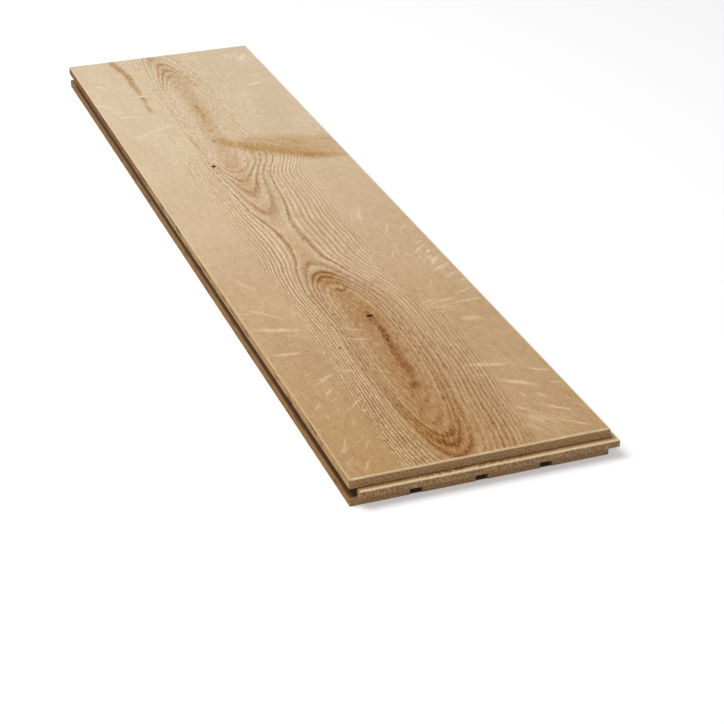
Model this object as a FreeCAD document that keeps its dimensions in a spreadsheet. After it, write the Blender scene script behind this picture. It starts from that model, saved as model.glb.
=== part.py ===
import FreeCAD
import Part
import Sketcher

import os

# A wide plank floorboard of solid oak, planed from one piece and matched on all
# four edges: a tongue on one side and one end, a groove in the other two.
# It lies face up: X runs across it, Y along it and Z up. The side tongue points
# to +X, the side groove opens to -X, the end tongue points to -Y and the end
# groove opens to +Y. The origin is the middle of the underside, at the centre of
# the rectangle that the board covers, tongues included.

doc = FreeCAD.newDocument("floorboard")

# Driving dimensions, in millimetres.
SIZES = {
    # The face that shows when the floor is laid, and the whole thickness.
    "face_width": 180.0,
    "face_length": 820.0,
    "board_thickness": 20.0,
    # The groove, measured down from the face and in from the face's edge.
    "lip_thickness": 7.0,
    "groove_height": 6.5,
    "groove_depth": 5.5,
    "groove_rounding": 0.5,
    # The tongue bears under the upper lip, with play below it and at its tip.
    "play_above": 0.1,
    "play_below": 0.7,
    "tip_gap": 0.5,
    "tongue_rounding": 0.9,
    # Below the joint the edges stand back, so that the faces meet first.
    "lower_setback": 0.3,
    # The small bevel round the face.
    "face_bevel": 0.7,
    # Relief channels along the underside, at equal steps across the face.
    "relief_count": 3,
    "relief_width": 8.6,
    "relief_depth": 4.8,
    "relief_rounding": 2.2,
    # How far the blank and the cutters run on past the finished board.
    "cutter_overrun": 3.0,
}

# Places on the section and along the length, worked out from the sizes.
PLACES = {
    "tongue_reach": "sizes.groove_depth - sizes.tip_gap",
    "left_edge": "-(sizes.face_width + tongue_reach) / 2",
    "right_edge": "left_edge + sizes.face_width",
    "left_setback": "left_edge + sizes.lower_setback",
    "right_setback": "right_edge - sizes.lower_setback",
    "side_groove_floor": "left_edge + sizes.groove_depth",
    "side_tongue_tip": "right_edge + tongue_reach",
    "far_edge": "(sizes.face_length + tongue_reach) / 2",
    "near_edge": "far_edge - sizes.face_length",
    "far_setback": "far_edge - sizes.lower_setback",
    "near_setback": "near_edge + sizes.lower_setback",
    "end_groove_floor": "far_edge - sizes.groove_depth",
    "end_tongue_tip": "near_edge - tongue_reach",
    "underside": "0",
    "face": "sizes.board_thickness",
    "groove_roof": "face - sizes.lip_thickness",
    "groove_base": "groove_roof - sizes.groove_height",
    "tongue_top": "groove_roof - sizes.play_above",
    "tongue_base": "groove_base + sizes.play_below",
    "blank_length": "far_edge - end_tongue_tip + 2 * sizes.cutter_overrun",
    "past_face": "face + sizes.cutter_overrun",
    "past_underside": "underside - sizes.cutter_overrun",
    "past_far_end": "far_edge + 2 * sizes.cutter_overrun",
    "past_near_end": "end_tongue_tip - 2 * sizes.cutter_overrun",
    "relief_step": "sizes.face_width / (sizes.relief_count + 1)",
    "relief_left": "left_edge + relief_step - sizes.relief_width / 2",
    "relief_right": "relief_left + sizes.relief_width",
    "relief_roof": "underside + sizes.relief_depth",
}


def add_sheet(name, cells):
    """A spreadsheet with one named cell to a row."""
    sheet = doc.addObject("Spreadsheet::Sheet", name)
    for row, (alias, content) in enumerate(cells.items(), start=1):
        sheet.set(f"A{row}", alias)
        sheet.set(f"B{row}", content)
        sheet.setAlias(f"B{row}", alias)
    doc.recompute()
    return sheet


sizes = add_sheet("sizes", {alias: str(value) for alias, value in SIZES.items()})
places = add_sheet("places", {alias: f"={formula}" for alias, formula in PLACES.items()})

board = doc.addObject("PartDesign::Body", "oak_plank")
board.Label = "oak_plank"
board.Placement = FreeCAD.Placement()
origin = {feature.Role: feature for feature in board.Origin.OriginFeatures}

START, END = 1, 2
SKETCH_ORIGIN = (-1, 1)


def bind(sketch, constraint, cell):
    """Add a dimension to a sketch and tie it to a cell."""
    index = sketch.addConstraint(constraint)
    sketch.setExpression(f"Constraints[{index}]", cell)


def add_sketch(name, plane, corners):
    """A closed outline on one of the board's origin planes.

    Each corner gives its place across, its place up and, where it is rounded, the rounding's size.
    """
    sketch = board.newObject("Sketcher::SketchObject", name)
    sketch.AttachmentSupport = (origin[plane], [""])
    sketch.MapMode = "FlatFace"
    points = [
        FreeCAD.Vector(getattr(places, across), getattr(places, up), 0) for across, up, *_ in corners
    ]
    for line, point in enumerate(points):
        sketch.addGeometry(Part.LineSegment(points[line - 1], point), False)
    for line in range(len(points)):
        following = (line + 1) % len(points)
        sketch.addConstraint(Sketcher.Constraint("Coincident", line, END, following, START))

    # A rounding keeps its sharp corner as a construction point, which carries the corner's place.
    for line, (across, up, *rounding) in enumerate(corners):
        anchor = (line, END)
        if rounding:
            radius = getattr(sizes, rounding[0])
            sketch.fillet(line, END, radius, True, True)
            arc, sharp_corner = sketch.GeometryCount - 2, sketch.GeometryCount - 1
            anchor = (sharp_corner, START)
            bind(sketch, Sketcher.Constraint("Radius", arc, radius), f"sizes.{rounding[0]}")
        for direction, place in (("DistanceX", across), ("DistanceY", up)):
            distance = Sketcher.Constraint(direction, *SKETCH_ORIGIN, *anchor, getattr(places, place))
            bind(sketch, distance, f"places.{place}")
    return sketch


def add_feature(kind, name, sketch=None):
    """The next feature of the board. One made from a sketch runs both ways from the sketch's plane."""
    feature = board.newObject(f"PartDesign::{kind}", name)
    if sketch:
        feature.Profile = sketch
        feature.SideType = "Symmetric"
        sketch.Visibility = False
    return feature


def cut(name, sketch, run):
    """A pocket as long as a cell says, with a check that it takes wood away."""
    before = board.Shape.Volume
    pocket = add_feature("Pocket", name, sketch)
    pocket.Type = "Length"
    pocket.setExpression("Length", run)
    doc.recompute()
    assert board.Shape.Volume < before, f"{name} cuts nothing"
    return pocket


# The moulder planes the blank to its section in one pass, both long edges included.
# The outline starts at the lower left and goes up, over the face and down the right.
# The blank is longer than the board, and the end cutters trim it.
moulded_section = add_sketch("moulded_section", "XZ_Plane", (
    ("left_setback", "underside"),
    ("left_setback", "groove_base"),
    ("side_groove_floor", "groove_base", "groove_rounding"),
    ("side_groove_floor", "groove_roof", "groove_rounding"),
    ("left_edge", "groove_roof"),
    ("left_edge", "face"),
    ("right_edge", "face"),
    ("right_edge", "tongue_top"),
    ("side_tongue_tip", "tongue_top", "tongue_rounding"),
    ("side_tongue_tip", "tongue_base", "tongue_rounding"),
    ("right_setback", "tongue_base"),
    ("right_setback", "underside"),
))
moulded_blank = add_feature("Pad", "moulded_blank", moulded_section)
moulded_blank.setExpression("Length", "places.blank_length")
doc.recompute()

# Relief channels run the whole length of the underside. They let the board bed down
# on an uneven floor and ease its cupping.
relief_section = add_sketch("relief_section", "XZ_Plane", (
    ("relief_left", "past_underside"),
    ("relief_left", "relief_roof", "relief_rounding"),
    ("relief_right", "relief_roof", "relief_rounding"),
    ("relief_right", "past_underside"),
))
relief_channel = cut("relief_channel", relief_section, "places.blank_length + sizes.cutter_overrun")
single_channel = board.Shape.Volume
relief_channels = add_feature("LinearPattern", "relief_channels")
relief_channels.Originals = [relief_channel]
relief_channels.Direction = (origin["X_Axis"], [""])
relief_channels.Mode = "Spacing"
relief_channels.setExpression("Offset", "places.relief_step")
relief_channels.setExpression("Occurrences", "sizes.relief_count")
board.Tip = relief_channels
doc.recompute()
assert sizes.relief_count < 2 or board.Shape.Volume < single_channel, "the channels aren't repeated"

# The end cutters cross the whole width, the side tongue and side groove with it.
# The near one leaves the end tongue, and the far one leaves the end groove.
end_tongue_cutter = add_sketch("end_tongue_cutter", "YZ_Plane", (
    ("near_edge", "past_face"),
    ("near_edge", "tongue_top"),
    ("end_tongue_tip", "tongue_top", "tongue_rounding"),
    ("end_tongue_tip", "tongue_base", "tongue_rounding"),
    ("near_setback", "tongue_base"),
    ("near_setback", "past_underside"),
    ("past_near_end", "past_underside"),
    ("past_near_end", "past_face"),
))
end_groove_cutter = add_sketch("end_groove_cutter", "YZ_Plane", (
    ("far_edge", "past_face"),
    ("far_edge", "groove_roof"),
    ("end_groove_floor", "groove_roof", "groove_rounding"),
    ("end_groove_floor", "groove_base", "groove_rounding"),
    ("far_setback", "groove_base"),
    ("far_setback", "past_underside"),
    ("past_far_end", "past_underside"),
    ("past_far_end", "past_face"),
))
cutter_run = "2 * (places.side_tongue_tip + sizes.cutter_overrun)"
end_tongue = cut("end_tongue", end_tongue_cutter, cutter_run)
end_groove = cut("end_groove", end_groove_cutter, cutter_run)

# A small bevel takes off the four sharp edges of the face.
face_number = next(
    number for number, side in enumerate(end_groove.Shape.Faces, start=1)
    if abs(side.CenterOfMass.z - places.face) < 1e-6
)
face_bevel = add_feature("Chamfer", "face_bevel")
face_bevel.Base = (end_groove, [f"Face{face_number}"])
face_bevel.setExpression("Size", "sizes.face_bevel")
board.Tip = face_bevel
doc.recompute()

for item in doc.Objects:
    assert not {"Invalid", "Error"} & set(item.State), f"{item.Name} failed: {item.State}"
for item in (moulded_section, relief_section, end_tongue_cutter, end_groove_cutter):
    assert item.FullyConstrained, f"{item.Name} isn't fully constrained"
solid = board.Shape
assert not solid.isNull() and solid.isValid() and len(solid.Solids) == 1, "the board isn't one valid solid"
covered = solid.BoundBox
print(f"{board.Label}: {covered.XLength:.2f} x {covered.YLength:.2f} x {covered.ZLength:.2f} mm,"
      f" {solid.Volume / 1000:.1f} cm3, {len(solid.Faces)} faces")

os.makedirs("parts", exist_ok=True)
solid.exportStep(f"parts/{board.Label}.step")
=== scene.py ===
from math import cos, radians, sin

import bpy
from mathutils import Euler, Matrix, Vector


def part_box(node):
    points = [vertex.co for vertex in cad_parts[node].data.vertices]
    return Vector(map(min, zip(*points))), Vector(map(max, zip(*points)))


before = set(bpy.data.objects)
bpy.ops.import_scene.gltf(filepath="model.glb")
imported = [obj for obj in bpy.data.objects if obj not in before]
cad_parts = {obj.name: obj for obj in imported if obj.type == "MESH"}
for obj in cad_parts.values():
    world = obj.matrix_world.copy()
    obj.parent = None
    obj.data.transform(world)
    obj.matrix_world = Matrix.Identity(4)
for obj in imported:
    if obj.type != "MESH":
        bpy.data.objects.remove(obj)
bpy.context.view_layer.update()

# The board. One length of solid oak, planed to its section by a moulder and matched at its
# ends by a tenoner. Its wood is placed from three of its planes: the face's left edge, its
# near edge and the face itself, in millimetres across, along and down from them.
TONGUE_REACH = 0.005
lowest, highest = (Vector(corner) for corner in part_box("oak_plank"))
FACE_LEFT = lowest.x
FACE_RIGHT = highest.x - TONGUE_REACH
FACE_NEAR = lowest.y + TONGUE_REACH
FACE_FAR = highest.y
FACE_LEVEL = highest.z
FACE_WIDTH_MM = 1000 * (FACE_RIGHT - FACE_LEFT)
FACE_LENGTH_MM = 1000 * (FACE_FAR - FACE_NEAR)
LIP_MM = 7.0
GROOVE_FLOOR_MM = 13.5

# The growth rings. The board was sawn a little below the heart of the log, so the rings
# show on its face as long loops round two rises in the grain, as straight lines beside
# them, and on the ends as arcs. The heart comes nearest to the face at the two eyes.
HEART_ACROSS = (
    (0, 75.3), (30, 75.5), (60, 76), (100, 78.5), (160, 81.6), (205, 82.2), (240, 80.5), (270, 78.3),
    (300, 77), (352, 77.7), (420, 76.6), (480, 76.5), (540, 79), (580, 82), (640, 84), (740, 86), (820, 84),
)
HEART_ABOVE = (
    (0, 21.6), (10, 19.8), (19, 18.6), (32, 16.8), (47, 14.8), (66, 12.8), (90, 10.5), (120, 8.5),
    (160, 7.2), (205, 7.2), (240, 9.5), (255, 12), (268, 14.5), (279, 16.8), (288, 18.5), (303, 20.6),
    (311, 21.9), (320, 22.6), (350, 23.3), (380, 23.1), (398, 22.3), (416, 20.8), (460, 18.5), (487, 16.8),
    (505, 14.5), (522, 12), (560, 10), (620, 7.6), (700, 6), (725, 9), (738, 12), (755, 14.5),
    (772, 16.8), (790, 18.5), (820, 22),
)
# How far from the heart each year's wood begins, and how dark its early wood is.
YEARS = (
    (9.5, 0.25), (12, 0.35), (14.5, 0.45), (16.8, 0.9), (18.5, 1), (20.7, 0.75), (24, 1), (26, 0.4),
    (28.1, 0.5), (30.3, 0.7), (32.5, 0.55), (34.7, 0.6), (36.8, 0.5), (38.6, 0.5), (40.6, 0.6),
    (42.4, 0.45), (44.6, 0.35),
)
YEAR_AT_HEART = -1 / 3
YEAR_BEYOND_MM = 2.6
DARK_BEYOND = 0.2
# The rings right of the heart are further apart than those left of it, by this much.
RIGHT_HALF_NEAR = 1.4
RIGHT_HALF_FAR = 1.12


class Reading:
    """A number that changes over the wood: a shader socket that takes plain arithmetic."""

    def __init__(self, socket):
        self.socket = socket
        self.tree = socket.id_data

    def worked(self, operation, *others):
        step = self.tree.nodes.new("ShaderNodeMath")
        step.operation = operation
        for entry, value in zip(step.inputs, (self, *others)):
            feed(self.tree, entry, value)
        return Reading(step.outputs["Value"])

    def __add__(self, other):
        return self.worked("ADD", other)

    def __sub__(self, other):
        return self.worked("SUBTRACT", other)

    def __rsub__(self, other):
        return self * -1 + other

    def __mul__(self, other):
        return self.worked("MULTIPLY", other)

    def __truediv__(self, other):
        return self.worked("DIVIDE", other)

    def __pow__(self, other):
        return self.worked("POWER", other)

    def size(self):
        return self.worked("ABSOLUTE")

    def least(self, other):
        return self.worked("MINIMUM", other)

    def most(self, other):
        return self.worked("MAXIMUM", other)

    def between(self, low, high, start=0.0, end=1.0):
        """A smooth step from start to end as the number goes from low to high."""
        step = self.tree.nodes.new("ShaderNodeMapRange")
        step.interpolation_type = "SMOOTHSTEP"
        limits = (("Value", self), ("From Min", low), ("From Max", high), ("To Min", start), ("To Max", end))
        for name, value in limits:
            feed(self.tree, step.inputs[name], value)
        return Reading(step.outputs["Result"])

    def falling(self, low, high):
        """A smooth step down, from 1 to 0."""
        return self.between(low, high, 1.0, 0.0)

    def within(self, outside, inside, still_inside, outside_again):
        """1 between the inner two of four numbers, and 0 past the outer two."""
        return self.between(outside, inside) * self.falling(still_inside, outside_again)


def feed(tree, entry, value):
    """Link a reading or a socket to a node's input, or set the input to a plain value."""
    if isinstance(value, Reading):
        value = value.socket
    if isinstance(value, bpy.types.NodeSocket):
        tree.links.new(value, entry)
    else:
        entry.default_value = value


def add_node(tree, kind, inputs=None, **settings):
    """A shader node with its settings made and its inputs fed."""
    made = tree.nodes.new(f"ShaderNode{kind}")
    for name, value in settings.items():
        setattr(made, name, value)
    for name, value in (inputs or {}).items():
        feed(tree, made.inputs[name], value)
    return made


def new_group(name, takes, gives):
    """An empty shader group. takes and gives map a socket's name to its kind."""
    tree = bpy.data.node_groups.new(name, "ShaderNodeTree")
    for in_out, sockets in (("INPUT", takes), ("OUTPUT", gives)):
        for socket, kind in sockets.items():
            tree.interface.new_socket(socket, in_out=in_out, socket_type=f"NodeSocket{kind}")
    return tree, tree.nodes.new("NodeGroupInput"), tree.nodes.new("NodeGroupOutput")


def use_group(tree, group, inputs):
    """The group placed in a tree, with its inputs fed."""
    placed = tree.nodes.new("ShaderNodeGroup")
    placed.node_tree = group
    for name, value in inputs.items():
        feed(tree, placed.inputs[name], value)
    return placed


def parts_of(tree, vector):
    split = add_node(tree, "SeparateXYZ", {"Vector": vector})
    return tuple(Reading(split.outputs[axis]) for axis in "XYZ")


def point_at(tree, place):
    joined = add_node(tree, "CombineXYZ", dict(zip("XYZ", place)))
    return joined.outputs["Vector"]


def mottle(tree, place, patch, detail=1.0, seed=0.0):
    """Noise from about -1 to 1, in patches of a size given in mm across, along and down."""
    stretched = add_node(tree, "Mapping", {
        "Vector": place,
        "Location": (seed, 2 * seed, 3 * seed),
        "Scale": tuple(1 / size for size in patch),
    })
    noise = add_node(tree, "TexNoise", {
        "Vector": stretched.outputs["Vector"], "Scale": 1.0, "Detail": detail, "Roughness": 0.55,
    })
    return (Reading(noise.outputs["Fac"]) - 0.5) * 3.2


def course(tree, reading, points, reach):
    """A smooth curve through given points (position, value), for positions from 0 to reach."""
    top = max(value for _, value in points)
    curve = add_node(tree, "FloatCurve", {"Value": reading / reach})
    line = curve.mapping.curves[0]
    for end, (position, value) in zip(line.points, (points[0], points[-1])):
        end.location = (position / reach, value / top)
    for position, value in points[1:-1]:
        line.points.new(position / reach, value / top)
    curve.mapping.update()
    return Reading(curve.outputs["Value"]) * top


def make_growth_rings():
    """Gives the early and late wood of the years as masks, and how far the heart is."""
    tree, given, result = new_group(
        "growth rings", {"Place": "Vector"},
        {"Early wood": "Float", "Late wood": "Float", "From heart": "Float", "Beside heart": "Float"})
    place = given.outputs["Place"]
    across, along, down = parts_of(tree, place)

    # The grain wavers a little, and swells to the right past the far pin knot.
    wander = mottle(tree, place, (30, 90, 30), 0.0) * 1.3 + mottle(tree, place, (6, 34, 6), 1.0, 5.0) * 0.28
    bulge = along.within(480, 532, 538, 600) * across.between(82, 118) * 9
    beside = across + wander - bulge - course(tree, along, HEART_ACROSS, FACE_LENGTH_MM)
    above = course(tree, along, HEART_ABOVE, FACE_LENGTH_MM) + down
    right_half = along.between(530, 640, RIGHT_HALF_NEAR, RIGHT_HALF_FAR)
    narrowed = beside.most(0.0) / right_half + beside.least(0.0)

    # The fibres ruffle the rings, most of all at the near end.
    bundles = mottle(tree, place, (1.6, 12, 1.6), 2.0, 9.0)
    fibres = bundles * 0.4 + mottle(tree, place, (0.7, 3.2, 0.7), 1.0, 11.0) * 0.4
    fibres = fibres * along.between(30, 110, 1.5, 1.0)
    from_heart = (narrowed * narrowed + above * above) ** 0.5 + fibres

    starts = [(start, number) for number, (start, _) in enumerate(YEARS)]
    outer = starts[-1][0]
    inner_years = course(tree, from_heart.least(outer), [(0, YEAR_AT_HEART), *starts], outer)
    year = inner_years + (from_heart - outer).most(0.0) / YEAR_BEYOND_MM
    whole_years = year.worked("FLOOR")
    season = year - whole_years
    # The darkness is read at the whole number of years, so it is the same all through a year.
    darks = [(number / len(YEARS), dark) for number, (_, dark) in enumerate(YEARS)]
    dark = course(tree, (whole_years / len(YEARS)).least(1.0), [*darks, (1.0, DARK_BEYOND)], 1.0)
    early = season.within(0.0, 0.06, 0.12, 0.62) * dark
    late = season.within(0.56, 0.76, 0.86, 0.98) * from_heart.between(22.5, 26, 0.1, 1.0)
    gives = (("Early wood", early), ("Late wood", late), ("From heart", from_heart), ("Beside heart", beside))
    for name, reading in gives:
        feed(tree, result.inputs[name], reading)
    return tree


# The rays. They are thin sheets of pale cells that stand out from the heart, so they show as
# flecks only where the face runs nearly along them, in a fan round each eye.
EYES_ACROSS = 87
NEAR_EYE = (120, 207)
FAR_EYE = (640, 712)
BETWEEN_EYES = 430


def make_rays():
    """Gives the small flecks of the two fans. The long ones are listed further on."""
    tree, given, result = new_group("rays", {"Place": "Vector"}, {"Fleck": "Float"})
    across, along, down = parts_of(tree, given.outputs["Place"])
    near_level, far_level = (along.most(start).least(end) for start, end in (NEAR_EYE, FAR_EYE))
    is_far = along.worked("GREATER_THAN", BETWEEN_EYES)
    level = near_level + (far_level - near_level) * is_far
    beside = across - EYES_ACROSS
    rise = along - level
    turn = rise.worked("ARCTAN2", beside.size())
    reach = (beside * beside + rise * rise) ** 0.5

    # A fleck is noise stretched outwards. The two sides of the heart are read 80 mm apart.
    side = beside.worked("SIGN") * 40
    fan = point_at(tree, (reach + side, level + turn * 70, down))
    wide = mottle(tree, fan, (26, 2.6, 12), 1.0, 2.0)
    thin = mottle(tree, fan, (14, 1.0, 12), 1.0, 4.0)
    patchy = mottle(tree, given.outputs["Place"], (30, 45, 30), 0.0, 8.0)
    fleck = (wide + patchy * 0.5).between(0.5, 1.0) * 0.6 + (thin + patchy * 0.6).between(0.5, 0.95) * 0.4
    right_of_crown = beside.between(10, 30) * (along - 310).size().between(90, 130, 0.5, 0.0)
    fleck = fleck * (beside.between(0, 1, 0.85, 1.2) + right_of_crown)
    shown = beside.size().between(34, 52) * (along - 450).size().between(30, 110)
    feed(tree, result.inputs["Fleck"], fleck.least(1.0) * shown)
    return tree


def make_mark():
    """Gives a soft-edged oval round a centre. Each of its ways is a direction over its half size."""
    tree, given, result = new_group(
        "mark", {"Place": "Vector", "Centre": "Vector", "Crosswise": "Vector", "Lengthwise": "Vector",
                 "Inwards": "Vector", "Edge": "Float"},
        {"Mask": "Float"})

    def worked(operation, *vectors):
        return add_node(tree, "VectorMath", dict(enumerate(vectors)), operation=operation)

    offset = worked("SUBTRACT", given.outputs["Place"], given.outputs["Centre"]).outputs["Vector"]
    shares = [
        worked("DOT_PRODUCT", offset, given.outputs[way]).outputs["Value"]
        for way in ("Crosswise", "Lengthwise", "Inwards")
    ]
    length = worked("LENGTH", point_at(tree, shares)).outputs["Value"]
    inside = Reading(length).between(given.outputs["Edge"], 1.0, 1.0, 0.0)
    feed(tree, result.inputs["Mask"], inside)
    return tree


growth_rings = make_growth_rings()
rays = make_rays()
mark = make_mark()

# Bands in the wood, as listed points: the place along one way of the board, the band's
# middle the other way, its half width and how strong it is there.
WARM_HEART = (
    (0, 75, 11, 0.22), (12, 75, 14, 0.26), (26, 75, 16, 0.3), (42, 76, 16, 0.34), (80, 80, 16, 0.48),
    (125, 83, 17, 0.66), (170, 86, 18, 0.58), (210, 87, 20, 0.72), (240, 86, 19, 0.48), (262, 83, 19, 0.6),
    (280, 80, 16, 0.85), (289, 79, 14, 0.46), (297, 79, 12, 0.02), (330, 79, 9, 0.3), (360, 78, 10, 0.26),
    (440, 78, 14, 0.2), (480, 78, 15, 0.38), (520, 79, 15, 0.3), (560, 82, 13, 0.36), (600, 83, 12, 0.46),
    (650, 86, 13, 0.54), (710, 88, 14, 0.5), (740, 88, 13, 0.37), (770, 85, 11, 0.43), (800, 84, 9, 0.32),
    (820, 80, 6, 0.4),
)
HEART_STREAK = (
    (0, 76, 2, 0), (92, 82, 4, 0), (99, 82.5, 5.5, 0.6), (106, 84, 5, 0.2), (118, 86, 5, 0.4),
    (127, 86.2, 5.5, 0.55), (137, 86.2, 5, 0.42), (146, 86.6, 5, 0.56), (155, 87.6, 5, 0.52),
    (165, 88.6, 4.4, 0.62), (176, 89.5, 4, 0.75), (187, 90, 3.4, 0.65), (195, 89.5, 3, 0.45),
    (204, 88.8, 4.6, 0.48), (216, 89.5, 3, 0.1), (224, 89.5, 3, 0), (598, 83, 3, 0), (606, 83, 2.6, 0.35),
    (615, 83.5, 2, 0.1), (634, 86, 3, 0.2), (641, 86, 3.4, 0.3), (650, 86.4, 2.8, 0.2),
    (661, 86.8, 2.6, 0.55), (672, 86.9, 2.2, 0.3), (682, 86.5, 2, 0), (802, 80, 2, 0), (812, 79, 2, 0.5),
    (820, 78.5, 2, 0.5),
)
MINERAL_STREAK = (
    (0, 44, 3, 0), (664, 44.6, 3, 0), (673, 45, 4, 0.6), (684, 44.3, 4, 0.5), (694, 45, 3, 0.35),
    (704, 46, 4, 0.65), (717, 46.4, 3.5, 0.45), (735, 46, 4, 0.65), (750, 46.1, 4.5, 0.65),
    (765, 46.5, 5, 0.8), (778, 46, 4.5, 0.7), (789, 44.6, 6, 0.75), (801, 43, 6.5, 0.7),
    (812, 41.5, 6.5, 0.68), (820, 40.6, 6, 0.65),
)
# These two run across the board, where the grain turns aside at the far pin knot: a brown
# band, and the far side of the paler veil that reaches back from it.
SWIRL = (
    (0, 590, 6, 0), (70, 586, 8, 0), (78, 579, 9, 0.2), (86, 571, 10, 0.5), (98, 556, 12, 0.7),
    (110, 544, 12, 0.45), (122, 534, 12, 0.34), (135, 525, 11, 0.42), (147, 518, 9, 0.6),
    (158, 512, 8, 0.45), (168, 509, 7, 0.25), (180, 506, 7, 0.05),
)
VEIL_TOP = (
    (0, 580, 10, 0), (88, 572, 10, 0), (98, 578, 10, 0.35), (112, 580, 9, 0.5), (128, 577, 8, 0.55),
    (145, 571, 7, 0.5), (162, 566, 6, 0.42), (180, 560, 6, 0.35),
)
# Single marks: across, along, turn to the left in degrees, half length, half width, strength.
# The cup in the near eye is a dark mark with a smaller one taken out of it.
SMALL_MARKS = (
    (74.4, 66.5, 0, 3.8, 1.4, 1.0), (71.5, 63, 0, 3.4, 1.4, 0.7), (76.5, 86, -30, 4.5, 2, 0.5),
    (82, 76, 10, 4, 2.4, 0.3), (78, 49, -62, 8, 1.6, 0.4), (63.5, 28, 8, 6, 1.6, 0.5),
    (83, 31, -30, 7, 2.4, 0.45), (73.5, 25, 0, 6, 2.6, 0.45), (85, 257, 0, 7, 6.2, 0.9),
    (85.3, 259.6, 0, 6.2, 3.8, -0.9), (147, 517, 66, 6, 2.4, 0.7), (64, 517, -15, 5, 1, 0.45),
    (78, 579, 0, 8, 2, 0.45), (170, 521, -30, 5, 1.2, 0.45), (81, 762, -6, 9, 1.6, 0.3),
    (83.5, 753.5, -23, 6, 1.8, 0.3), (83.5, 724, 5, 9, 2.4, 0.35), (53, 168.5, -20, 2.6, 1, 0.8),
    (74, 305, -20, 6, 1.5, 0.4), (76, 612, 0, 13, 1.2, 0.35), (75, 802, 0, 13, 1.4, 0.45),
    (61, 576, 2, 36, 2.4, 0.3),
)
LONG_RAYS = (
    (139, 109, 72, 20, 3.2, 0.7), (149, 78, 55, 19, 3.6, 0.75), (139, 42, 40, 17, 1.5, 0.6),
    (163, 15, 45, 19, 1.3, 0.75), (157, 178, 74, 12, 5.5, 0.5), (170, 90, 60, 12, 2, 0.7),
    (158, 39, 42, 13, 1.8, 0.55), (166, 206, 92, 16, 1.8, 0.8), (129, 96, 70, 10, 1.3, 0.5),
    (174, 69, 68, 8, 2.2, 0.5), (157, 56, 40, 8, 2, 0.5), (146, 61, 10, 6, 1.4, 0.35),
    (150, 212.5, 88, 11, 2.6, 0.6), (169, 222, -57, 13, 1.8, 0.55), (176, 239, -75, 5, 1.6, 0.5),
    (170, 250.5, -60, 12, 1.7, 0.65), (151.5, 243, -20, 7, 1.6, 0.4), (171, 268, -62, 11, 2, 0.6),
    (168, 278, -33, 10, 3.2, 0.55), (165, 302, -46, 17, 1.8, 0.6), (171, 296.5, -55, 6, 2, 0.5),
    (169, 314, -50, 6, 1.8, 0.5), (147.5, 302, -22, 8, 1.4, 0.35), (150, 258, -48, 7, 1.6, 0.35),
    (168, 346, -35, 8, 4, 0.3), (156, 349, -25, 16, 2, 0.35), (144, 380, -15, 16, 2, 0.25),
    (155, 709, -82, 13, 2.6, 0.7), (160, 732, -78, 12, 2.4, 0.4), (165, 788, -62, 15, 3, 0.25),
    (20, 209.5, 70, 23, 4.2, 0.7), (27, 197.5, 76, 10, 1.2, 0.35), (23, 184, 88, 4, 1.2, 0.45),
    (15, 172, 82, 15, 3, 0.6), (19, 237, 40, 26, 2.4, 0.42), (19, 288, 20, 20, 2.4, 0.38),
    (18.5, 139, -72, 6, 1.6, 0.5), (27, 128, -54, 17, 2.2, 0.55), (47, 134, 76, 10, 2.2, 0.5),
    (11, 94, -40, 8, 2, 0.5), (25, 110, -40, 8, 1.8, 0.5), (13, 78, -8, 8, 1.4, 0.35),
    (36, 89, -48, 15, 1.6, 0.6), (40, 79, -45, 7, 1.4, 0.35), (12, 42, -27, 17, 1.6, 0.4),
    (26.5, 68, -10, 8, 1.6, 0.3), (16, 11, -25, 10, 1.4, 0.5), (25, 37, -34, 10, 1.4, 0.3),
    (70, 176, 65, 15, 1.6, 0.6), (72, 191, 68, 14, 1.4, 0.5), (47, 713, 88, 10, 2, 0.9),
    (22, 664, 74, 15, 2.6, 0.5), (36, 622, -62, 36, 2.2, 0.5), (7, 698, 45, 11, 2.4, 0.5),
    (15, 678, 66, 11, 2.4, 0.45), (16, 750, 31, 12, 2.6, 0.4),
)
NEAR_KNOT = (89.6, 207.6, 80, 3.2, 2.2, 1.0)
FAR_KNOT = (62, 522.3, 0, 3.0, 2.3, 1.0)
# Where the near loop closes, its rings are darkest: at its crown and at its near tip.
LOOP_ENDS = ((80, 283, 0, 10, 17, 1.0), (75, 10, 0, 34, 20, 0.7))


def band_at(tree, position, points, reach):
    """The middle, half width and strength of a band at a position along it."""
    columns = ([(point[0], point[part]) for point in points] for part in (1, 2, 3))
    return (course(tree, position, column, reach) for column in columns)


def band(tree, position, sideways, points, reach):
    """A soft-edged band, as a mask."""
    middle, half_width, strength = band_at(tree, position, points, reach)
    return ((sideways - middle) / half_width).size().falling(0.15, 1.0) * strength


def all_marks(tree, place, marks, edge, depth):
    """The marks of a list added up."""
    total = None
    for across, along, turn, half_length, half_width, strength in marks:
        sideways, lengthways = sin(radians(turn)), cos(radians(turn))
        placed = use_group(tree, mark, {
            "Place": place, "Centre": (across, along, 0), "Inwards": (0, 0, 1 / depth), "Edge": edge,
            "Crosswise": (lengthways / half_width, sideways / half_width, 0),
            "Lengthwise": (-sideways / half_length, lengthways / half_length, 0),
        })
        part = Reading(placed.outputs["Mask"]) * strength
        total = part if total is None else total + part
    return total


def srgb(red, green, blue):
    """A colour as it looks on screen, from 0 to 255, as the linear colour that a shader takes."""
    shares = (value / 255 for value in (red, green, blue))
    linear = (share / 12.92 if share <= 0.04045 else ((share + 0.055) / 1.055) ** 2.4 for share in shares)
    return (*linear, 1.0)


def colour_mix(tree, mask, first, second):
    """first where the mask is 0 or less and second where it is 1 or more."""
    return add_node(tree, "Mix", {0: mask, 6: first, 7: second}, data_type="RGBA").outputs[2]


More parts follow.
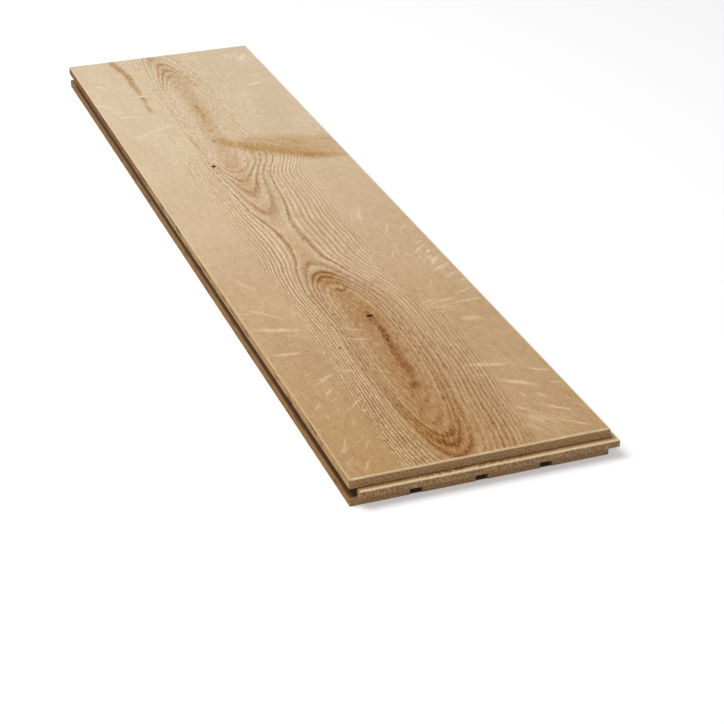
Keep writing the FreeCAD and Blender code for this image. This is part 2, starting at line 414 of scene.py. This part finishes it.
class Wood:
    """What the oak's layers of colour read at a point of the board."""

    def __init__(self, tree):
        self.tree = tree
        coordinates = add_node(tree, "TexCoord")
        measured = add_node(tree, "Mapping", {
            "Vector": coordinates.outputs["Object"],
            "Location": (-1000 * FACE_LEFT, -1000 * FACE_NEAR, 1000 * FACE_LEVEL),
            "Scale": (1000, 1000, -1000),
        })
        self.place = measured.outputs["Vector"]
        self.across, self.along, self.down = parts_of(tree, self.place)
        from_left, from_right = self.across, FACE_WIDTH_MM - self.across
        from_near, from_far = self.along, FACE_LENGTH_MM - self.along
        self.to_edge = from_left.least(from_right).least(from_near).least(from_far)
        facing_x, facing_y, _ = parts_of(tree, coordinates.outputs["Normal"])
        self.on_end = facing_y.size().between(0.75, 0.9)
        self.on_left = facing_x.falling(-0.9, -0.75)
        self.read_rings()
        self.read_marks()
        self.read_fibres()

        # The face is browner and more marked near the camera than at the far end, whose paler colours are
        # partly a painted sheen.
        self.near = self.along.falling(60, 150)
        self.far = self.along.between(180, 480)
        self.far_eye = self.along.between(515, 560)

    def noise(self, patch, detail, seed):
        return mottle(self.tree, self.place, patch, detail, seed)

    def mix(self, mask, first, second):
        return colour_mix(self.tree, mask, first, second)

    def read_rings(self):
        """The year's wood. Past the last counted year the rings fade out."""
        rings = use_group(self.tree, growth_rings, {"Place": self.place})
        self.from_heart = Reading(rings.outputs["From heart"])
        self.beside_heart = Reading(rings.outputs["Beside heart"])
        self.ring_zone = self.from_heart.between(40.5, 45.5, 1.0, 0.1)
        self.early = Reading(rings.outputs["Early wood"]) * self.ring_zone
        self.late = Reading(rings.outputs["Late wood"]) * self.ring_zone

    def read_marks(self):
        """Streaks and flecks, read at a place moved a little so that they end in fibres, and the knots."""
        tree = self.tree
        slow_shift = self.noise((7, 26, 7), 1.0, 21.0) * 1.2
        ragged_x = slow_shift + self.noise((1.4, 7, 1.4), 1.0, 25.0) * 0.6
        ragged_y = self.noise((1.1, 9, 1.1), 1.0, 23.0) * 2.2
        ragged = point_at(tree, (self.across + ragged_x, self.along + ragged_y, self.down))
        self.ragged_across, self.ragged_along, _ = parts_of(tree, ragged)
        self.mineral = self.lengthwise_band(MINERAL_STREAK)
        self.streaks = self.lengthwise_band(HEART_STREAK) + all_marks(tree, ragged, SMALL_MARKS, 0.2, 9)
        self.flecks = Reading(use_group(tree, rays, {"Place": ragged}).outputs["Fleck"])
        self.long_flecks = all_marks(tree, ragged, LONG_RAYS, 0.15, 6)
        self.knots = all_marks(tree, self.place, (NEAR_KNOT, FAR_KNOT), 0.55, 12)

    def lengthwise_band(self, points):
        return band(self.tree, self.ragged_along, self.ragged_across, points, FACE_LENGTH_MM)

    def read_fibres(self):
        """Noise at the fibres' scales. The threads follow the rings, and the rest the board's length."""
        self.fine = self.noise((0.8, 2.4, 0.8), 2.0, 31.0)
        self.middle = self.noise((2.2, 16, 2.2), 2.0, 33.0)
        self.dashes = self.noise((0.5, 5, 0.5), 1.0, 37.0)
        self.fading = self.noise((2.5, 45, 2.5), 1.0, 39.0)
        self.strands = self.noise((1.0, 8, 1.0), 2.0, 49.0)
        self.broken = self.noise((1.2, 5, 1.2), 1.0, 51.0)
        self.pores = self.dashes.between(0.35, 0.9)
        self.stain = self.streaks * (self.dashes * 0.3 + self.broken * 0.9 + 1.0)
        self.stain = self.stain + self.mineral * self.dashes.between(-0.6, 0.6, 0.4, 1.3)
        along_rings = point_at(self.tree, (self.from_heart, self.along, self.beside_heart * 0.2))
        self.threads = mottle(self.tree, along_rings, (0.75, 24, 6), 1.0, 43.0)
        self.end_specks = self.noise((0.45, 3, 1.4), 2.0, 41.0)


def ground(wood):
    """The wood under all the rest: tan at the near end, cream at the far one, softly clouded. The cream far
    end is partly the wood's own tone and partly a painted sheen.
    """
    across, along = wood.across, wood.along
    # Paler towards the far end, partly the wood's tone and partly a painted sheen, and a little paler right
    # of the near eye.
    paler_tone_and_sheen = along.between(-80, 680) * across.between(90, 165, 1.0, 0.9)
    paler_tone_and_sheen = paler_tone_and_sheen + across.between(95, 150) * along.between(90, 240, 0.14, 0.0)
    eye_foot = along.within(480, 500, 530, 570)
    threads = wood.threads * wood.ring_zone * (eye_foot * 0.15 + 0.4)
    broad = wood.noise((28, 110, 28), 1.0, 35.0)
    clouds = wood.noise((5, 11, 5), 1.0, 45.0) * (1 - wood.ring_zone)
    shade = wood.fine * 0.38 + wood.middle * 0.1 + broad * 0.12 + clouds * 0.16 + threads + 0.5
    tan = wood.mix(shade, srgb(156, 111, 61), srgb(208, 169, 117))
    cream = wood.mix(shade, srgb(200, 171, 132), srgb(236, 215, 185))
    return wood.mix(paler_tone_and_sheen, tan, cream)


def late_wood(wood, colour):
    """The pale lines between the rings, broken up, and faint right of the near loop."""
    right_near = wood.across.between(88, 100) * wood.along.falling(150, 260)
    pale = wood.late * (wood.fading * 0.4 + wood.threads * 0.4 + wood.broken * 0.45 + 0.6)
    pale = pale * (1 - right_near * 0.6) * (1 - wood.near * 0.3) * wood.across.between(86, 98, 1.0, 0.65)
    return wood.mix(pale, colour, srgb(240, 219, 180))


def knot_shells(wood):
    """Faint shells round the near pin knot, on its far side inside the near eye."""
    across, along = wood.ragged_across - NEAR_KNOT[0], (wood.ragged_along - NEAR_KNOT[1]) * 0.8
    from_knot = (across * across + along * along) ** 0.5
    round_knot = point_at(wood.tree, (from_knot, wood.ragged_along * 0.2, wood.down))
    shells = mottle(wood.tree, round_knot, (2.2, 6, 6), 1.0, 47.0).between(0.05, 0.7)
    shells = shells * wood.from_heart.falling(12.5, 16) * wood.along.between(190, 203)
    return shells * from_knot.falling(30, 55)


def warm_heart(wood, colour):
    """The heart's warm brown, the band and veil where the grain turns aside, and the dark near loop."""
    tree, across, along = wood.tree, wood.ragged_across, wood.ragged_along
    swirl_line, swirl_half, swirl_dark = band_at(tree, across, SWIRL, FACE_WIDTH_MM)
    past_swirl = (along - swirl_line) / swirl_half
    arcs = mottle(tree, point_at(tree, (past_swirl * 7, across * 0.3, wood.down)), (2.2, 8, 8), 2.0, 57.0)
    swirl = past_swirl.within(-1.6, 0.0, 0.2, 2.0) * swirl_dark * (arcs * 0.3 + 1)
    veil_line, veil_half, veil_dark = band_at(tree, across, VEIL_TOP, FACE_WIDTH_MM)
    veil = past_swirl.between(-1.2, 0.6) * ((along - veil_line) / veil_half).falling(-2.2, 1.2)
    veil = veil * veil_dark * (arcs * 0.8 + 1.05)

    near_loop = wood.from_heart.within(15.5, 17.5, 20.2, 22.4) * wood.near
    near_loop = near_loop * wood.beside_heart.between(-12, 16, 0.6, 0.45)
    near_loop = near_loop * (wood.threads * 0.5 + wood.strands * 0.5 + 0.78)
    warmed = wood.lengthwise_band(WARM_HEART) + swirl + veil + near_loop + knot_shells(wood) * 0.3
    warmed = warmed * (wood.middle * 0.3 + wood.threads * 0.3 + wood.broken * 0.2 + 0.92)
    brown = wood.mix(wood.far, srgb(162, 103, 28), srgb(180, 130, 50))
    return wood.mix(warmed.least(0.95), colour, brown)


def pale_year(wood, colour):
    """One pale year round the far half of the near eye."""
    pale = wood.from_heart.within(12.2, 13.2, 13.5, 14.5) * wood.along.within(200, 225, 430, 440)
    return wood.mix(pale * 0.4, colour, srgb(226, 190, 140))


def single_fibres(wood, colour):
    """Short dark and pale fibres, strongest near the heart."""
    shown = wood.from_heart.between(20, 30, 1.0, 0.4) * wood.ring_zone
    dark = wood.strands.between(0.0, 0.55) * shown * 0.4
    pale = (wood.strands * -1).between(0.0, 0.55) * shown * 0.42
    colour = wood.mix(dark, colour, wood.mix(wood.far, srgb(124, 74, 26), srgb(168, 122, 66)))
    return wood.mix(pale, colour, wood.mix(wood.far, srgb(222, 184, 130), srgb(244, 224, 190)))


def early_wood(wood, colour):
    """The dark lines of the rings: strongest where the near loop closes, faint round the far eye."""
    from_heart = wood.from_heart
    emphasis = all_marks(wood.tree, wood.place, LOOP_ENDS, 0.5, 14)
    texture = wood.threads * 0.3 + wood.dashes * 0.2 + wood.broken * 0.45 + wood.fading * 0.25
    line = wood.early * (texture + emphasis * 0.65 + 0.62)
    strong_year = from_heart.within(23, 24, 26, 27)
    far_arcs = wood.along.between(705, 735) * from_heart.falling(17.5, 21)
    line = line * (1 - wood.far_eye * (0.6 - strong_year * 0.3)) * (far_arcs * 3.0 + 1)
    line = line * (wood.near * (from_heart.between(25, 27) * 0.4 - strong_year * 0.55) + 1)
    right_of_eye = wood.across.between(98, 112) * (wood.along - 240).size().between(70, 110, 0.35, 0.0)
    line = line * (1 - right_of_eye)
    brown = wood.mix(wood.far, srgb(122, 66, 14), srgb(160, 104, 36))
    brown = wood.mix(wood.far_eye, brown, srgb(172, 118, 44))
    return wood.mix(line, colour, brown)


def pores_and_stains(wood, colour):
    colour = wood.mix(wood.pores * 0.35, colour, srgb(128, 80, 34))
    brown = wood.mix(wood.far, srgb(112, 45, 0), srgb(168, 112, 16))
    return wood.mix(wood.stain.least(0.95), colour, brown)


def rays_and_knots(wood, colour):
    pale = wood.mix(wood.far, srgb(238, 213, 174), srgb(255, 240, 214))
    colour = wood.mix((wood.flecks * 0.4 + wood.long_flecks * 0.8).least(0.8), colour, pale)
    return wood.mix(wood.knots, colour, srgb(24, 3, 6))


def left_edge(wood, colour):
    """The planed left edge, brown at its far end and streaked. Its lower lip is browner than its upper."""
    far_half = wood.along.between(420, 620)
    upper_lip = wood.mix(far_half, srgb(208, 166, 116), srgb(160, 110, 64))
    lower_lip = wood.mix(far_half, srgb(174, 132, 82), srgb(172, 128, 80))
    on_lower_lip = wood.down.between(GROOVE_FLOOR_MM - 0.3, GROOVE_FLOOR_MM + 0.3)
    brown = wood.mix(on_lower_lip, upper_lip, lower_lip)
    streaks = (wood.fading + wood.middle + wood.threads).between(0.0, 1.3)
    return wood.mix(wood.on_left, colour, wood.mix(streaks, brown, srgb(118, 72, 34)))


def end_grain(wood, colour):
    """The sawn ends, where the fibres and vessels are seen end on, as specks."""
    vessels = wood.noise((0.6, 3, 0.8), 1.0, 53.0).between(0.3, 0.8)
    specked = wood.mix(wood.end_specks * 0.9 + 0.5, srgb(100, 60, 28), srgb(216, 178, 130))
    specked = wood.mix(vessels * 0.55, specked, srgb(70, 38, 16))
    return wood.mix(wood.on_end * 0.92, colour, specked)


def painted_shade_and_highlights(wood, colour):
    """Painted shade darkens the groove, most under its lip, and the corner over the tongue. Painted
    highlights make the face's rim and the tongue's arris pale.
    """
    to_edge, down = wood.to_edge, wood.down
    # Painted shade: the groove and the corner over the tongue are mixed towards a dark brown, as if in
    # shadow.
    groove_shade = to_edge.between(0.2, 0.6)
    groove_shade = groove_shade * down.within(LIP_MM - 0.2, LIP_MM + 0.1, GROOVE_FLOOR_MM, GROOVE_FLOOR_MM + 0.3)
    corner = to_edge.within(-1.9, -0.7, 0.0, 0.3)
    corner = corner * down.within(LIP_MM - 0.3, LIP_MM, LIP_MM + 0.4, LIP_MM + 0.8)
    dark = groove_shade * down.between(8, 13, 0.96, 0.84) + corner * 0.6
    colour = wood.mix(dark, colour, srgb(66, 38, 18))

    # Painted highlights: a pale line round the face's rim, patchy at the near end, and a ragged one along the
    # tongue's top arris.
    highlight_patches = wood.noise((12, 5, 5), 1.0, 55.0)
    rim_strength = wood.across.between(0.6, 1.6, 0.3, 0.7) + wood.along.between(1, 2, 0.35, 0.0) * highlight_patches
    rim_highlight = to_edge.falling(0.5, 1.5) * down.falling(0.8, 1.4) * rim_strength * (1 - wood.on_left)
    arris_highlight = (to_edge + wood.end_specks * 0.9).falling(-3.9, -3.2) * down.falling(LIP_MM + 0.8, LIP_MM + 1.3)
    arris_highlight = arris_highlight * (wood.end_specks * 0.45 + 0.8)
    return wood.mix(rim_highlight.most(arris_highlight), colour, srgb(240, 218, 178))


def make_oak():
    """Bare planed oak, matt, with its pores and early wood a little sunk."""
    material = bpy.data.materials.new("bare oak")
    material.use_nodes = True
    tree = material.node_tree
    shader = tree.nodes["Principled BSDF"]
    wood = Wood(tree)
    colour = ground(wood)
    for layer in (
        late_wood, warm_heart, pale_year, single_fibres, early_wood, pores_and_stains, rays_and_knots,
        left_edge, end_grain, painted_shade_and_highlights,
    ):
        colour = layer(wood, colour)
    feed(tree, shader.inputs["Base Color"], colour)

    shader.inputs["Specular IOR Level"].default_value = 0.15
    rough = wood.pores * 0.15 + wood.early * 0.15 + wood.stain.least(1.0) * 0.3 + wood.knots * 0.5
    rough = rough - wood.flecks * 0.06 - wood.long_flecks * 0.06 + wood.fine * 0.04 + wood.on_left * 0.4
    feed(tree, shader.inputs["Roughness"], rough + 0.42)
    height = wood.fine * 0.4 - wood.pores * 0.8 - wood.early * 0.4
    bump = add_node(tree, "Bump", {"Height": height, "Strength": 0.35, "Distance": 0.0002})
    feed(tree, shader.inputs["Normal"], bump.outputs["Normal"])
    return material


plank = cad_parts["oak_plank"]
plank.material_slots[0].material = make_oak()

# The floor. A plain pale sheet that the board lies on. The camera sees it white with the
# board's shadow on it, and right under the board it is painted dark brown, a painted shade where no light
# comes in.
FLOOR_SIZE = 12
FLOOR_GLOW = 0.3
FACE_MIDDLE_X = (FACE_LEFT + FACE_RIGHT) / 2
FACE_MIDDLE_Y = (FACE_NEAR + FACE_FAR) / 2
bpy.ops.mesh.primitive_plane_add(size=FLOOR_SIZE, location=(0, 0, 0))
floor = bpy.context.object
floor.name = "floor"
paper = bpy.data.materials.new("white floor")
paper.use_nodes = True
tree = paper.node_tree
matt = tree.nodes["Principled BSDF"]
matt.inputs["Roughness"].default_value = 1.0
matt.inputs["Specular IOR Level"].default_value = 0.0
light_path = add_node(tree, "LightPath")
is_camera, is_glossy = (Reading(light_path.outputs[f"Is {kind} Ray"]) for kind in ("Camera", "Glossy"))
seen = is_camera.most(is_glossy)
floor_x, floor_y, _ = parts_of(tree, add_node(tree, "TexCoord").outputs["Object"])
past_side = (floor_x - FACE_MIDDLE_X).size() - (FACE_RIGHT - FACE_LEFT) / 2
past_end = (floor_y - FACE_MIDDLE_Y).size() - (FACE_FAR - FACE_NEAR) / 2
clear_of_board = past_side.most(past_end).between(-0.0015, -0.0005)
# Painted shade: under the board, seen through its channels, the floor is a dark brown.
pale_with_painted_shade = colour_mix(tree, clear_of_board, (0.12, 0.09, 0.07, 1), (0.8, 0.8, 0.8, 1))
feed(tree, matt.inputs["Base Color"], colour_mix(tree, seen, (0.45, 0.45, 0.45, 1), pale_with_painted_shade))
glow = add_node(tree, "Emission", {"Strength": clear_of_board * FLOOR_GLOW})
both = add_node(tree, "AddShader", {0: matt.outputs["BSDF"], 1: glow.outputs["Emission"]})
switch = add_node(tree, "MixShader", {0: seen, 1: matt.outputs["BSDF"], 2: both.outputs["Shader"]})
feed(tree, tree.nodes["Material Output"].inputs["Surface"], switch.outputs["Shader"])
floor.data.materials.append(paper)

# The light. A dim even room and three soft lamps: the key lamp high on the left, the front
# lamp low before the near end, and the back lamp low behind the far end, which lays a pale
# sheen over the far half of the face.
ROOM_LIGHT = 0.3
world = bpy.data.worlds.new("studio")
bpy.context.scene.world = world
world.use_nodes = True
room = world.node_tree.nodes["Background"]
room.inputs["Color"].default_value = (1, 1, 1, 1)
room.inputs["Strength"].default_value = ROOM_LIGHT


def soft_lamp(name, place, aim, width, height, watts):
    """A rectangular lamp at a place, turned to a point."""
    data = bpy.data.lights.new(name, "AREA")
    data.shape = "RECTANGLE"
    data.size, data.size_y, data.energy = width, height, watts
    lamp = bpy.data.objects.new(name, data)
    bpy.context.collection.objects.link(lamp)
    lamp.location = place
    lamp.rotation_euler = (Vector(aim) - Vector(place)).to_track_quat("-Z", "Y").to_euler()


soft_lamp("key lamp", (-1.0, 0.15, 2.1), (0, 0, 0), 1.4, 1.4, 41)
soft_lamp("front lamp", (-0.6, -2.6, 1.0), (0, -0.4, 0), 1.6, 0.8, 13)
soft_lamp("back lamp", (0.8, 3.4, 0.9), (0.05, 0.4, 0), 2.6, 0.6, 8)

# The camera. It stands where the photograph was taken from, before the board's near left
# corner and above it, and looks down and to the right through the same long lens.
PHOTO_SIDE_PX = 724
FOCAL_LENGTH_PX = 1896.6
FROM_NEAR_LEFT_CORNER = Vector((-0.3278, -0.9481, 0.6213))
LOOK_DOWN = radians(28.22)
LOOK_RIGHT = radians(19.58)
LEAN = radians(-0.64)
camera_data = bpy.data.cameras.new("camera")
camera_data.sensor_width = 36.0
camera_data.lens = camera_data.sensor_width * FOCAL_LENGTH_PX / PHOTO_SIDE_PX
camera = bpy.data.objects.new("camera", camera_data)
bpy.context.collection.objects.link(camera)
bpy.context.scene.camera = camera
stand = Vector((FACE_LEFT, FACE_NEAR, FACE_LEVEL)) + FROM_NEAR_LEFT_CORNER
turn = Euler((radians(90) - LOOK_DOWN, 0, -LOOK_RIGHT)).to_matrix() @ Matrix.Rotation(LEAN, 3, "Z")
camera.matrix_world = Matrix.Translation(stand) @ turn.to_4x4()
bpy.context.scene.view_settings.view_transform = "Standard"
